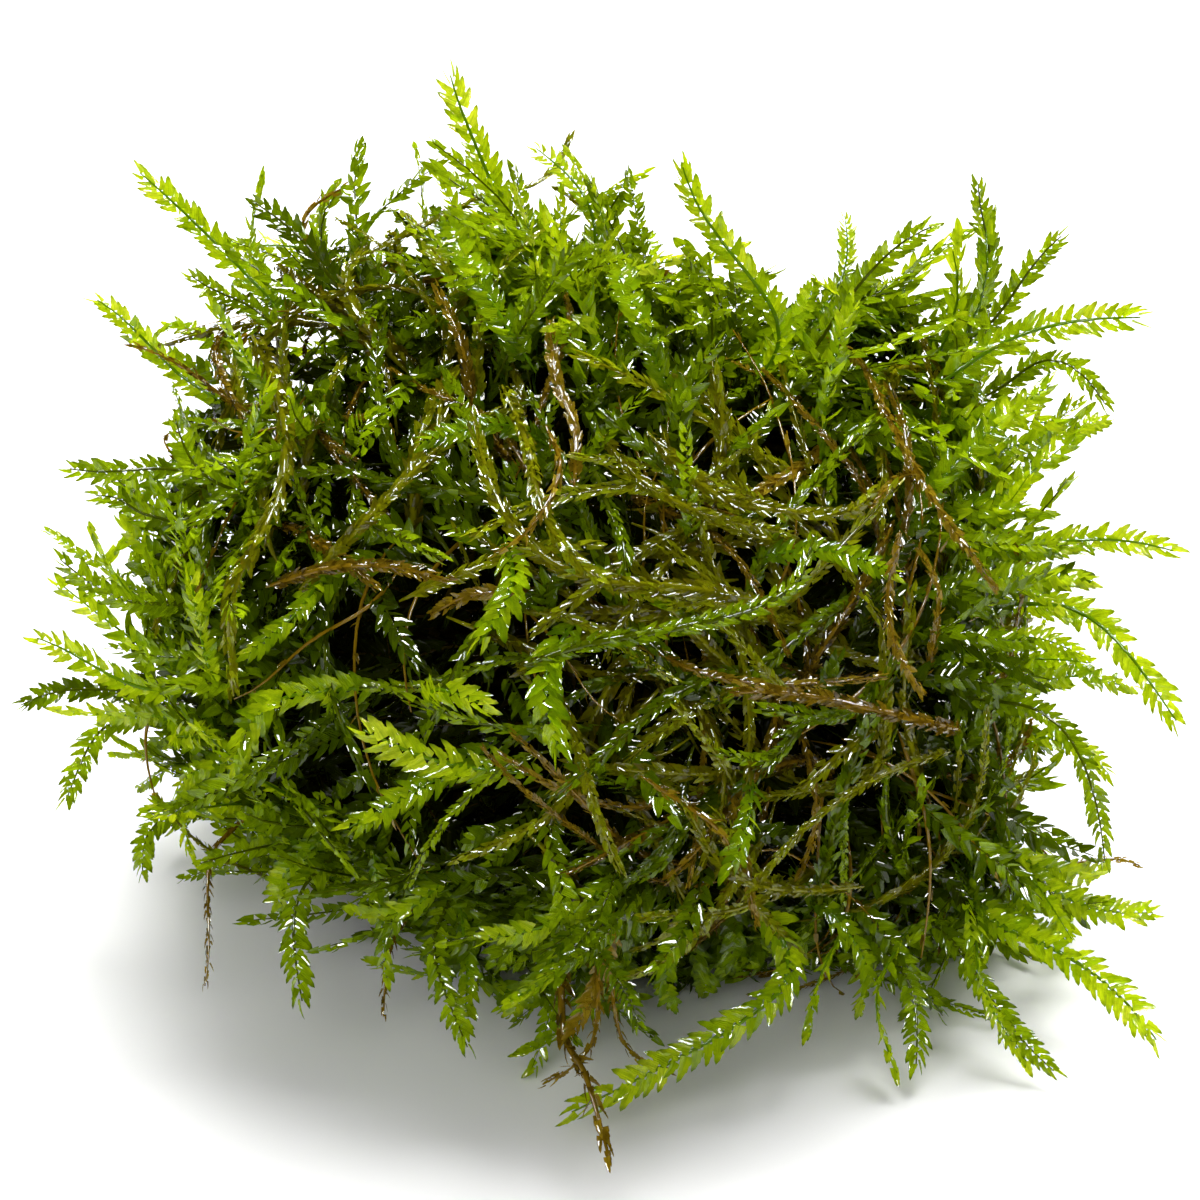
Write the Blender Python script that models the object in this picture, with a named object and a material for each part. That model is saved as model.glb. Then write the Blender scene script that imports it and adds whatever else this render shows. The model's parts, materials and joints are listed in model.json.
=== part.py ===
"""A clump of creeping aquarium moss, lifted out and set down on a flat surface.

Pieces: the matted heart of short shoots, old strands wound over it, and the loose fronds
that stand out of it. The origin is on the surface under the heart, +Z is up, and the front
of the clump faces -Y. The tables below are in millimetres and degrees; the scene is in metres.

A place on the mat is given as (azimuth, elevation) seen from the heart: azimuth 0 is the
front, +90 the right, 180 the back.
"""

import math

import bmesh
import bpy
from mathutils import Vector
from mathutils.geometry import interpolate_bezier

MM = 0.001
GAP = 0.35  # clear air between neighbouring pieces

HEART = Vector((-1.0, 0.0, 23.0))
MAT_AXES = (33.2, 31.8, 30.2, 33.0)  # half extents of the mat: X, Y, up, down
# Swellings and saddles of the mat: (azimuth, elevation, height, spread in degrees).
LUMPS = (
    (-117, 38, 5, 22),
    (116, 38, 8, 18),
    (138, 50, -11, 18),
    (104, 64, -6, 14),
    (-90, 0, 2, 25),
    (108, -28, 3, 20),
    (66, -24, 6, 16),
    (76, -2, -2.5, 15),
    (18, -38, -5, 20),
    (-38, -30, -6, 24),
)
# Open hollows between the shoots, in the same terms.
HOLLOWS = (
    (-38, 56, -4, 9),
    (-35, 21, -4, 8),
    (-17, 5, -5, 9),
    (38, -5, -5, 10),
    (24, 26, -4, 8),
    (38, 49, -4, 8),
    (-85, 38, -5, 10),
    (160, 20, -4, 10),
)

BLADE_HALF_WIDTH = 1.4  # a full leafy frond is about 2.8 mm across its two ranks of leaves
BLADE_THICKNESS = 0.28  # of its width
BLADE_TAPER = (0.24, 0.7, 0.95, 1.0, 1.0, 0.92, 0.72, 0.28)
STALK_RADIUS = 0.42
STALK_TAPER = (1.0, 1.0, 0.95, 0.9, 0.85, 0.8, 0.7, 0.5)
STRAND_TAPER = (0.6, 0.95, 1.0, 1.0, 1.0, 1.0, 0.95, 0.5)
HUMP_REACH = 6.5  # how far ahead a strand starts to rise over the one below it

FRONT = Vector((0.0, -math.cos(math.radians(30)), math.sin(math.radians(30))))
BEHIND = Vector((0.0, math.cos(math.radians(30)), math.sin(math.radians(30))))

TINTS = {
    "mat": (0.030, 0.062, 0.012),
    "fresh": (0.245, 0.440, 0.060),
    "leaf": (0.110, 0.270, 0.028),
    "deep": (0.045, 0.120, 0.016),
    "olive": (0.150, 0.160, 0.030),
    "brown": (0.130, 0.062, 0.018),
    "orange": (0.270, 0.120, 0.025),
}

# Loose fronds: place of the root, tip, bow of the middle, scale of the width, tint. The bow is
# (to the right, up): a middle that is lifted makes the frond arch and its tip hang.
FRONDS = {
    "frond_crown": ((-156, 60), (-11.4, 19.6, 60.0), (-0.8, 0.5), 1.0, "fresh"),
    "frond_crown_pale": ((176, 70), (-5.2, 17.5, 54.4), (-0.6, 1.2), 0.75, "fresh"),
    "frond_top_right": ((70, 60), (5.6, -3.8, 63.1), (-2.2, -1.0), 0.95, "fresh"),
    "frond_saddle_small": ((122, 45), (18.3, 17.2, 49.4), (0.6, 0.6), 0.6, "fresh"),
    "frond_shoulder_arch": ((86, 55), (24.4, -1.5, 56.8), (0.0, 3.0), 0.85, "leaf"),
    "frond_right_upright": ((111, 34), (28.0, 12.4, 54.4), (-0.6, 0.0), 0.75, "leaf"),
    "frond_right_upright_back": ((116, 30), (30.0, 19.4, 48.8), (-0.8, 0.5), 0.65, "leaf"),
    "frond_right_slant": ((112, 30), (35.4, 14.6, 48.7), (-0.8, 1.0), 0.8, "leaf"),
    "frond_right_big": ((93, 37), (40.5, 4.5, 46.3), (0.0, 1.5), 1.05, "fresh"),
    "frond_right_droop": ((103, 27), (37.8, 3.0, 39.0), (0.0, 4.2), 0.8, "leaf"),
    "frond_right_mid": ((80, 16), (42.6, -6.2, 32.4), (0.0, 1.8), 0.9, "fresh"),
    "frond_right_lower_big": ((88, 4), (42.8, -10.6, 20.0), (0.0, 3.0), 1.05, "fresh"),
    "frond_right_hang": ((64, 3), (36.2, -22.8, 15.6), (2.0, 4.5), 0.75, "leaf"),
    "frond_right_inner": ((82, -12), (38.7, -5.8, 12.4), (0.8, 1.5), 0.75, "fresh"),
    "frond_right_low": ((66, -20), (42.0, -13.4, 6.0), (0.0, -1.6), 0.95, "fresh"),
    "frond_right_floor": ((60, -24), (41.0, -24.6, 1.4), (0.0, 3.6), 1.05, "fresh"),
    "frond_front_floor_right": ((55, -26), (33.4, -28.2, 1.4), (-2.6, 1.0), 0.85, "leaf"),
    "frond_front_floor": ((47, -28), (22.7, -28.4, 1.6), (0.9, 1.2), 0.85, "leaf"),
    "frond_front_low_left": ((-22, -19), (-9.0, -33.5, 7.0), (-1.0, 1.5), 0.85, "leaf"),
    "frond_front_low": ((0, -14), (2.8, -40.0, 13.3), (1.0, 2.0), 0.7, "deep"),
    "frond_left_floor": ((-46, -20), (-21.2, -27.1, 6.4), (-1.2, 1.5), 0.95, "leaf"),
    "frond_left_hang": ((-74, -20), (-34.2, -10.0, 6.0), (-1.4, 2.0), 0.75, "leaf"),
    "frond_left_low": ((-92, -11), (-44.2, -3.6, 17.4), (-0.5, 1.8), 0.75, "deep"),
    "frond_left_lower_tip": ((-84, -10), (-40.1, -9.6, 12.3), (0.0, 1.6), 0.85, "leaf"),
    "frond_left_a": ((-66, 4), (-41.5, -11.5, 28.7), (0.0, 1.2), 0.85, "fresh"),
    "frond_left_b": ((-70, 14), (-39.6, -9.2, 34.4), (0.0, -1.2), 0.85, "leaf"),
    "frond_left_c": ((-84, 19), (-37.6, -3.6, 35.5), (0.6, 1.4), 0.75, "leaf"),
    "frond_left_d": ((-80, 28), (-39.0, -6.6, 40.0), (0.0, -1.2), 0.8, "leaf"),
    "frond_left_up": ((-68, 32), (-30.2, -8.6, 45.8), (-1.0, 0.0), 0.8, "leaf"),
    "frond_left_high": ((-95, 33), (-37.4, 2.7, 49.1), (0.0, 1.6), 0.75, "fresh"),
    "frond_left_higher": ((-96, 46), (-30.2, 2.7, 51.4), (-1.0, -0.6), 0.7, "leaf"),
    "frond_left_long": ((-109, 43), (-34.6, 11.3, 55.5), (-1.2, 1.6), 0.85, "fresh"),
    "frond_left_cluster": ((-104, 54), (-25.8, 5.8, 55.5), (0.8, 0.0), 0.85, "deep"),
    "frond_back_left": ((-145, 28), (-30.5, 34.0, 38.0), (0.8, 1.5), 1.0, "fresh"),
    "frond_back": ((172, 22), (3.4, 43.0, 35.0), (0.6, 1.8), 1.05, "leaf"),
    "frond_back_right": ((140, 20), (27.5, 33.5, 33.0), (-0.8, 1.5), 0.9, "leaf"),
    "frond_back_low_left": ((-160, -4), (-17.0, 42.0, 15.0), (0.8, 2.0), 0.9, "leaf"),
    "frond_back_low_right": ((148, -14), (24.5, 36.0, 7.5), (-0.6, 2.0), 0.9, "fresh"),
}

# Bare or nearly bare stalks, in the same terms.
STALKS = {
    "stalk_left_top": ((-118, 48), (-17.0, 12.5, 54.0), (0.8, 1.2), 1.0, "orange"),
    "stalk_left_fork": ((-84, 38), (-34.7, -2.0, 47.6), (0.4, 0.9), 0.9, "brown"),
    "stalk_left_low": ((-60, -16), (-28.6, -26.0, 7.0), (1.0, 0.5), 0.9, "brown"),
    "stalk_front_left": ((-32, -27), (-15.5, -28.0, 5.7), (-0.6, 1.2), 0.9, "brown"),
    "stalk_right_low": ((72, -22), (41.2, -8.8, 6.6), (0.0, 2.2), 0.9, "orange"),
    "stalk_back": ((-174, 12), (-6.0, 43.0, 31.0), (1.0, 1.0), 1.0, "brown"),
}

# The long fresh frond curled on the surface in front, and the brown twig beside it: the root,
# then the points that it runs through.
CURLED = {
    "frond_front_curl": (
        (28, -20),
        ((14.4, -28.0, 10.5), (9.6, -30.4, 7.6), (3.8, -32.2, 5.0), (-2.8, -34.2, 2.4)),
        1.15,
        "fresh",
    ),
    "twig_front": (
        (-4, -27),
        ((-2.6, -29.5, 5.2), (-1.6, -32.0, 6.2), (-0.6, -36.5, 6.3), (0.9, -41.6, 3.2)),
        0.55,
        "brown",
    ),
}

# Old strands wound over the mat: the places that each runs over, its radius in mm, its tint.
# A later strand rises over an earlier one where they cross.
STRANDS = {
    "strand_rope_left": (
        ((-25, 55), (-15, 44), (-7, 38), (2, 35), (14, 34), (24, 31)),
        0.8,
        "olive",
    ),
    "strand_rope_right": (
        ((-8, 25), (0, 28), (10, 29), (23, 30), (31, 32), (36, 36)),
        0.8,
        "leaf",
    ),
    "strand_cross_upper": (
        ((13, 54), (20, 46), (29, 41), (39, 37), (51, 38)),
        0.7,
        "olive",
    ),
    "strand_orange_right": (
        ((84, 55), (72, 49), (64, 44), (60, 36), (61, 29), (66, 18)),
        0.65,
        "orange",
    ),
    "strand_dead_top": (((-15, 72), (-8, 62), (-2, 55), (-2, 47)), 0.6, "orange"),
    "strand_brown_left": (((-48, 26), (-40, 31), (-30, 34), (-20, 34)), 0.6, "brown"),
    "strand_trunk_left": (
        ((-86, 46), (-69, 46), (-56, 41), (-49, 33), (-50, 22), (-48, 12)),
        1.0,
        "olive",
    ),
    "strand_right_down": (((46, 33), (45, 27), (43, 21), (46, 13)), 0.6, "orange"),
    "strand_front_right": (((18, 21), (27, 19), (38, 14), (50, 7)), 0.7, "brown"),
    "strand_front_low": (((12, 8), (16, -1), (23, -7), (37, -11)), 0.6, "olive"),
    "strand_right_loop": (((76, 21), (79, 11), (70, 4), (58, 10)), 0.55, "brown"),
    "strand_back_high": (((-150, 50), (-163, 40), (175, 30), (155, 30)), 0.7, "brown"),
    "strand_back_low": (((-135, 8), (-150, 3), (-170, 6), (170, 2)), 0.7, "olive"),
}


def direction(azimuth, elevation):
    """The unit vector from the heart toward a place on the mat."""
    a, e = math.radians(azimuth), math.radians(elevation)
    return Vector((math.sin(a) * math.cos(e), -math.cos(a) * math.cos(e), math.sin(e)))


def reach(toward, lumps=LUMPS):
    """How far the mat comes out from the heart: an ellipsoid plus the lumps of the table."""
    up = MAT_AXES[2] if toward.z > 0 else MAT_AXES[3]
    squares = (toward.x / MAT_AXES[0]) ** 2 + (toward.y / MAT_AXES[1]) ** 2 + (toward.z / up) ** 2
    out = 1 / math.sqrt(squares)
    for azimuth, elevation, height, spread in lumps:
        angle = math.degrees(toward.angle(direction(azimuth, elevation)))
        out += height * math.exp(-((angle / spread) ** 2))
    return out


def clear_of_mat(point, margin):
    """The point, pushed straight out from the heart where it is nearer the mat than the margin."""
    away = point - HEART
    toward = away.normalized()
    return HEART + toward * max(away.length, reach(toward) + margin)


def catmull_rom(knots, per_span):
    """A smooth path through the knots, with the ends doubled so that it reaches them."""
    padded = [knots[0] * 2 - knots[1], *knots, knots[-1] * 2 - knots[-2]]
    path = []
    for i in range(1, len(padded) - 2):
        a, b, c, d = padded[i - 1 : i + 3]
        for step in range(per_span):
            t = step / per_span
            path.append(
                b
                + (c - a) * (t / 2)
                + (a * 2 - b * 5 + c * 4 - d) * (t * t / 2)
                + (b * 3 - a - c * 3 + d) * (t**3 / 2)
            )
    return [*path, knots[-1].copy()]


def even_steps(path, count):
    """The same path as count points spaced evenly along it."""
    lengths = [0.0]
    for before, after in zip(path, path[1:]):
        lengths.append(lengths[-1] + (after - before).length)
    points, i = [], 0
    for k in range(count):
        wanted = lengths[-1] * k / (count - 1)
        while i < len(path) - 2 and lengths[i + 1] < wanted:
            i += 1
        part = (wanted - lengths[i]) / (lengths[i + 1] - lengths[i])
        points.append(path[i].lerp(path[i + 1], min(1.0, part)))
    return points


def taper_at(taper, share):
    """The value of a taper table at a share of the length, between its entries in a line."""
    place = share * (len(taper) - 1)
    i = min(int(place), len(taper) - 2)
    return taper[i] + (taper[i + 1] - taper[i]) * (place - i)


def material(name, tint, roughness):
    """A plain coloured material of one node."""
    made = bpy.data.materials.new(name)
    made.use_nodes = True
    shader = made.node_tree.nodes["Principled BSDF"]
    shader.inputs["Base Color"].default_value = (*TINTS[tint], 1.0)
    shader.inputs["Roughness"].default_value = roughness
    made.diffuse_color = (*TINTS[tint], 1.0)
    return made


def section(name, sides, thickness):
    """A closed cross-section 1 mm in half width, that the shoots are swept with."""
    curve = bpy.data.curves.new(name, "CURVE")
    curve.dimensions = "2D"
    spline = curve.splines.new("POLY")
    spline.points.add(sides - 1)
    spline.use_cyclic_u = True
    for i, point in enumerate(spline.points):
        angle = -2 * math.pi * i / sides
        point.co = (MM * math.cos(angle), MM * thickness * math.sin(angle), 0, 1)
    made = bpy.data.objects.new(name, curve)
    made.hide_render = True
    made.display_type = "WIRE"
    guides.objects.link(made)
    return made


def sweep(name, path, radii, cut, facing, tint):
    """A closed shoot along the path, its flat side turned as near as it can to the facing."""
    curve = bpy.data.curves.new(name, "CURVE")
    curve.dimensions = "3D"
    curve.twist_mode = "Z_UP"
    curve.bevel_mode = "OBJECT"
    curve.bevel_object = cut
    curve.use_fill_caps = True
    spline = curve.splines.new("POLY")
    spline.points.add(len(path) - 1)
    for i, point in enumerate(spline.points):
        back = (path[i] - path[max(i - 1, 0)]).normalized()
        ahead = (path[min(i + 1, len(path) - 1)] - path[i]).normalized()
        along = (back + ahead).normalized()
        level = along.cross(Vector((0, 0, 1))).normalized()
        wide = along.cross(facing(path[i])).normalized()
        point.co = (*(path[i] * MM), 1)
        point.radius = radii[i]
        point.tilt = math.atan2(level.cross(wide).dot(along), level.dot(wide))
    curve.materials.append(material(name, tint, 0.45))
    made = bpy.data.objects.new(name, curve)
    clump.objects.link(made)
    return made


def outward(point):
    """The facing of a shoot that lies on the mat: straight out from the heart."""
    return (point - HEART).normalized()


def loose_facing(tip):
    """The facing of a shoot that stands out: to the front, or behind for one on the back."""
    side = BEHIND if tip.y > 28 else FRONT
    return lambda point: (side + 0.25 * outward(point)).normalized()


def loose_path(root, tip, bow):
    """From the mat, out square to it, then over in an arch to the tip."""
    out = direction(*root)
    start = HEART + out * (reach(out) + GAP + 0.25)
    far = (tip - start).length
    lift = Vector((bow[0], 0, bow[1]))
    handle = tip - (tip - start) * 0.33 + lift
    path = interpolate_bezier(start, start + out * (far * 0.3) + lift * 0.5, handle, tip, 33)
    return even_steps(path, 8)


def loose_shoot(name, root, tip, bow, width, taper, cut, tint):
    """A frond or a stalk that stands out of the mat."""
    tip = Vector(tip)
    path = loose_path(root, tip, bow)
    radii = [width * taper_at(taper, i / 7) for i in range(8)]
    path = [path[0]] + [clear_of_mat(p, r + GAP) for p, r in zip(path[1:], radii[1:])]
    return sweep(name, path, radii, cut, loose_facing(tip), tint)


def curled_shoot(name, root, points, width, tint):
    """A shoot that leaves the mat and then runs through the given points."""
    out = direction(*root)
    start = HEART + out * (reach(out) + GAP + 0.25)
    knots = [start, *(Vector(p) for p in points)]
    path = even_steps(catmull_rom(knots, 8), 12)
    radii = [width * BLADE_HALF_WIDTH * taper_at(BLADE_TAPER, i / 11) for i in range(12)]
    return sweep(name, path, radii, blade_section, loose_facing(path[-1]), tint)


def strand_path(places, radius, laid):
    """Over the mat at the strand's own thickness, rising over the strands already laid."""
    path = even_steps(catmull_rom([direction(*place) for place in places], 8), 14)
    risen = []
    for toward in (p.normalized() for p in path):
        base = radius + GAP + 0.3
        lift = base
        for other, other_radius in laid:
            nearest = min(other, key=lambda q: (q - HEART).normalized().angle(toward))
            off = (nearest - HEART).normalized()
            away = off.angle(toward) * MAT_AXES[0]
            if away < HUMP_REACH:
                over = (nearest - HEART).length - reach(off) + other_radius + radius + 2 * GAP
                ease = 0.5 + 0.5 * math.cos(math.pi * away / HUMP_REACH)
                lift = max(lift, base + (over - base) * min(1.0, 1.6 * ease))
        risen.append(HEART + toward * (reach(toward) + lift))
    return risen


def lay_strand(name, places, radius, tint, laid):
    """An old strand on the mat, added to the list of those already laid."""
    path = strand_path(places, radius, laid)
    last = len(path) - 1
    radii = [radius * taper_at(STRAND_TAPER, i / last) for i in range(last + 1)]
    made = sweep(name, path, radii, round_section, outward, tint)
    dense = [a.lerp(b, k / 4) for a, b in zip(path, path[1:]) for k in range(4)]
    laid.append((dense, radius))
    return made


def make_mat():
    """The matted heart: an icosphere drawn out to the reach of the mat, cut flat underneath."""
    ball = bmesh.new()
    bmesh.ops.create_icosphere(ball, subdivisions=4, radius=1.0)
    for vertex in ball.verts:
        toward = vertex.co.normalized()
        out = reach(toward, LUMPS + HOLLOWS)
        if toward.z < 0:
            out = min(out, HEART.z / -toward.z)
        vertex.co = (HEART + toward * out) * MM
    mesh = bpy.data.meshes.new("mat")
    ball.to_mesh(mesh)
    ball.free()
    mesh.materials.append(material("mat", "mat", 0.6))
    clump.objects.link(bpy.data.objects.new("mat", mesh))


for old in list(bpy.data.objects):
    bpy.data.objects.remove(old)
scene = bpy.context.scene
scene.unit_settings.scale_length = 1.0
clump = bpy.data.collections.new("moss_clump")
guides = bpy.data.collections.new("guides")
guides.hide_render = True
scene.collection.children.link(clump)
scene.collection.children.link(guides)

make_mat()
blade_section = section("guide_blade_section", 6, BLADE_THICKNESS)
round_section = section("guide_round_section", 6, 1.0)
for frond, (root, tip, bow, width, tint) in FRONDS.items():
    width *= BLADE_HALF_WIDTH
    loose_shoot(frond, root, tip, bow, width, BLADE_TAPER, blade_section, tint)
for stalk, (root, tip, bow, width, tint) in STALKS.items():
    width *= STALK_RADIUS
    loose_shoot(stalk, root, tip, bow, width, STALK_TAPER, round_section, tint)
for shoot, (root, points, width, tint) in CURLED.items():
    curled_shoot(shoot, root, points, width, tint)
laid_strands = []
for strand, (places, radius, tint) in STRANDS.items():
    lay_strand(strand, places, radius, tint, laid_strands)
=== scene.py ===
# %% [markdown]
# # A clump of wet creeping moss
# Such a clump is nothing but shoots: thin stems, each with rows of tiny leaves. Fresh shoots
# are flat like feathers, old ones are ropes with their leaves pressed to the stem. So the
# whole lesson is one leaf, one way to set leaves along a stem, and many stems.
#
# The solid model comes first: the mat, the loose fronds, the stalks and the strands lie where
# it says, and every piece made here takes its place from those solids.

# %% Load the solid model
import json
import math

import bpy
import numpy as np
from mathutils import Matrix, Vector


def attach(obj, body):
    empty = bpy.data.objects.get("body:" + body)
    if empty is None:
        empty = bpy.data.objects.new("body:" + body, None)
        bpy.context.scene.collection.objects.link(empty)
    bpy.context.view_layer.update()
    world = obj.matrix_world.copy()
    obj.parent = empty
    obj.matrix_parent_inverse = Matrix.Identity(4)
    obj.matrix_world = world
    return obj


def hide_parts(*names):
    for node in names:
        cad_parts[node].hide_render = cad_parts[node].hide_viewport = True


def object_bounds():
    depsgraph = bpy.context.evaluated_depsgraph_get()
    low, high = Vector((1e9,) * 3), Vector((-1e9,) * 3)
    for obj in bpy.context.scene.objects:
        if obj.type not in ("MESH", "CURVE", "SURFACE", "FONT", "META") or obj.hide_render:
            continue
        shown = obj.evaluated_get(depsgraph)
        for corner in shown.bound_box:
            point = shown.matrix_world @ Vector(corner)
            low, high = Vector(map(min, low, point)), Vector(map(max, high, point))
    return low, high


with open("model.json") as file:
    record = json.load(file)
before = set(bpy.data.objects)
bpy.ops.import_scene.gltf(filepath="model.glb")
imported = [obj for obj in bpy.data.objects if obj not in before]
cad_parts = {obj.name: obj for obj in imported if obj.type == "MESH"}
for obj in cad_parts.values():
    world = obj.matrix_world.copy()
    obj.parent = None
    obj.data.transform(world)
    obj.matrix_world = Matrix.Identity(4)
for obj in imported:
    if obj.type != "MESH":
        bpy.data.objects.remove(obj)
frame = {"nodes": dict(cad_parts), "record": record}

MM = 0.001
cad_box = [list(corner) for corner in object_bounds()]
nodes = frame["nodes"]
cad_size = np.subtract(cad_box[1], cad_box[0]) / MM
print("solid model, mm:", np.round(cad_size, 1), len(nodes), "nodes")

# %% [markdown]
# ## Reading a run out of a solid
# Each shoot of the solid model is a chain of six-cornered rings. Its rings are found again by
# counting edges away from the first one, and their middles give the line that the stem takes.
# This way the leaves always follow the solid, also after it is changed.

# %% Rings of a swept solid
RING = 6  # corners in each ring of a swept solid
HEART_HEIGHT = 23.0  # mm above the floor


def corners_and_edges(name):
    """The corners of a node in mm, with equal ones merged, and each edge between them once."""
    mesh = nodes[name].data
    flat = np.empty(len(mesh.vertices) * 3, np.float32)
    mesh.vertices.foreach_get("co", flat)
    loops = np.empty(len(mesh.loops), np.int32)
    mesh.loops.foreach_get("vertex_index", loops)
    points, which = np.unique(np.round(flat.reshape(-1, 3) / MM, 3), axis=0, return_inverse=True)
    faces = which.reshape(-1)[loops].reshape(-1, 3)
    ends = np.concatenate([faces[:, [0, 1]], faces[:, [1, 2]], faces[:, [2, 0]]])
    return points, np.unique(np.sort(ends, axis=1), axis=0)


mat_corners, _ = corners_and_edges("mat")
HEART = np.array([mat_corners[:, 0].mean(), mat_corners[:, 1].mean(), HEART_HEIGHT])
print("mat corners:", len(mat_corners), "heart at", np.round(HEART, 1))


def unit(vectors):
    """Each vector divided by its own length."""
    return vectors / np.maximum(np.linalg.norm(vectors, axis=-1, keepdims=True), 1e-9)


def rings_of(name, from_heart):
    """The rings in order. Each corner's rank is the least number of edges to the six corners
    nearest the start, which is the end nearest the heart, or one end of a strand."""
    points, edges = corners_and_edges(name)
    away = np.linalg.norm(points - HEART, axis=1)
    if not from_heart:
        far = points[np.argmax(np.linalg.norm(points - points.mean(0), axis=1))]
        away = np.linalg.norm(points - far, axis=1)
    hops = np.full(len(points), 999)
    hops[np.argsort(away)[:RING]] = 0
    for _ in range(len(points) // RING):
        np.minimum.at(hops, edges[:, 0], hops[edges[:, 1]] + 1)
        np.minimum.at(hops, edges[:, 1], hops[edges[:, 0]] + 1)
    return points[np.argsort(hops, kind="stable")].reshape(-1, RING, 3)


def even(path, count):
    """The path as count points spaced evenly along it and rounded off by three passes of
    each point = half itself + a quarter of each neighbour, all of it done twice."""
    for _ in range(2):
        far = np.concatenate([[0], np.cumsum(np.linalg.norm(np.diff(path, axis=0), axis=1))])
        steps = np.linspace(0, far[-1], count)
        path = np.stack([np.interp(steps, far, path[:, k]) for k in range(3)], axis=1)
        for _ in range(3):
            path[1:-1] = path[1:-1] / 2 + (path[:-2] + path[2:]) / 4
    return path


STEPS = 25  # points kept along every stem


def run_of(name, from_heart=True, buried=3.5, short=0.9):
    """The stem line of a node and its flat side at each point, with the root led back into
    the mat and the tip cut short, as the last leaves reach past it: (STEPS, 3) points in mm,
    (STEPS, 3) unit facings, and the widest half width."""
    rings = rings_of(name, from_heart)
    middle = rings.mean(1)
    apart = rings[:, :, None] - rings[:, None]
    apart_by = np.linalg.norm(apart, axis=-1).reshape(len(rings), -1)
    widest = apart_by.argmax(1)
    wide = unit(apart.reshape(len(rings), -1, 3)[np.arange(len(rings)), widest])
    turn = np.sign((wide[1:] * wide[:-1]).sum(1))
    wide[1:] *= np.cumprod(np.where(turn == 0, 1, turn))[:, None]
    if from_heart:
        inward = unit(HEART - middle[0])
        middle = np.concatenate([[middle[0] + inward * buried], middle])
        wide = np.concatenate([wide[:1], wide])
        middle[-1] -= unit(middle[-1] - middle[-2]) * short
    path = even(middle, STEPS)
    share = np.linspace(0, 1, STEPS)
    wide = np.stack(
        [np.interp(share, np.linspace(0, 1, len(wide)), wide[:, k]) for k in range(3)], axis=1
    )
    along = unit(np.gradient(path, axis=0))
    return path, unit(np.cross(wide, along)), apart_by.max() / 2


# %% [markdown]
# ## How far the mat comes out
# New shoots lie on the mat, so they need its surface in any direction from the heart. Casting
# rays would do. A weighted mean of the solid's own corners is smoother and works on whole
# arrays at once: corners in nearly the same direction count most.


# %% Reach of the mat
SHARPNESS = 500  # how fast a corner's weight falls with its angle
AT_ONCE = 4000  # directions worked out together, to save memory
FLOOR_GAP = 0.12  # mm that every corner keeps above the floor
LOWEST_LINE = 0.8  # mm that the line of a shoot keeps above the floor
mat_directions = unit(mat_corners - HEART)
mat_reaches = np.linalg.norm(mat_corners - HEART, axis=1)


def reach(directions):
    """Sum of weight x corner reach over sum of weights, with
    weight = exp(sharpness x (cosine of the angle to the corner - 1))."""
    flat = directions.reshape(-1, 3)
    found = np.empty(len(flat))
    for first in range(0, len(flat), AT_ONCE):
        part = flat[first : first + AT_ONCE]
        weight = np.exp(SHARPNESS * (part @ mat_directions.T - 1)) + 1e-12
        found[first : first + AT_ONCE] = (weight * mat_reaches).sum(1) / weight.sum(1)
    return found.reshape(directions.shape[:-1])


nearest, usual, farthest = np.percentile(mat_reaches, [0, 50, 100]).round(1)
print("corners of the mat, mm from its heart:", nearest, usual, farthest)


def direction(azimuth, elevation):
    """(sin a cos e, -cos a cos e, sin e) for azimuth a and elevation e in degrees: azimuth 0
    is the front, 90 the right, and elevation 90 is up."""
    a, e = np.radians(azimuth), np.radians(elevation)
    return np.stack([np.sin(a) * np.cos(e), -np.cos(a) * np.cos(e), np.sin(e)], axis=-1)


def keep_above_floor(points):
    """A height z under the lowest line becomes lowest + gap x exp(z - lowest)."""
    z = points[..., 2]
    pressed = LOWEST_LINE + FLOOR_GAP * np.exp(np.minimum(z - LOWEST_LINE, 0))
    points[..., 2] = np.where(z < LOWEST_LINE, pressed, z)
    return points


# %% [markdown]
# ## One leaf
# A leaf is a tongue with a broad foot and a blunt point, folded a little along its middle and
# hooked toward the tip of the shoot. The broad feet of neighbours overlap, so that a frond is
# closed along its stem and toothed along its edges. As a surface a leaf needs two numbers:
# along (0 at the stem, 1 at the point) and across (-1 at one edge, 1 at the other). Leaves
# near the eye get more rows than those in the depth of the mat, because thousands add up.


# %% The leaf as a function of two parameters
def leaf_template(rows, teeth=0.0):
    """Corners (along, across, height), their places on the leaf sheet and the triangles of a
    leaf with the given rows. Half width = (1 - along^2.2)^0.75, 1 at the foot, and less by the
    share teeth on every second row; height = 0.42 |side| - 0.12 side^2."""
    rows = np.array(rows)
    half = (1 - rows**2.2) ** 0.75 * (1 - teeth * (np.arange(len(rows)) % 2 == 0) * (rows > 0))
    across = np.array([-1.0, 0.0, 1.0])
    along_grid, across_grid = np.meshgrid(rows, across, indexing="ij")
    side = across_grid * half[:, None]
    cup = 0.42 * np.abs(side) - 0.12 * side**2
    grid = np.stack([along_grid, side, cup], axis=-1).reshape(-1, 3)
    points = np.concatenate([grid, [[1.0, 0.0, 0.0]]])
    place = np.stack([along_grid, across_grid / 2 + 0.5], axis=-1).reshape(-1, 2)
    place = np.concatenate([place, [[1.0, 0.5]]])
    first = (np.arange(len(rows) - 1)[:, None] * 3 + np.arange(2)).reshape(-1)
    lower = np.stack([first, first + 1, first + 4], axis=1)
    upper = np.stack([first, first + 4, first + 3], axis=1)
    last, tip = (len(rows) - 1) * 3, len(rows) * 3
    ends = np.array([[last, last + 1, tip], [last + 1, last + 2, tip]])
    return points, place, np.concatenate([lower, upper, ends])


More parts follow.
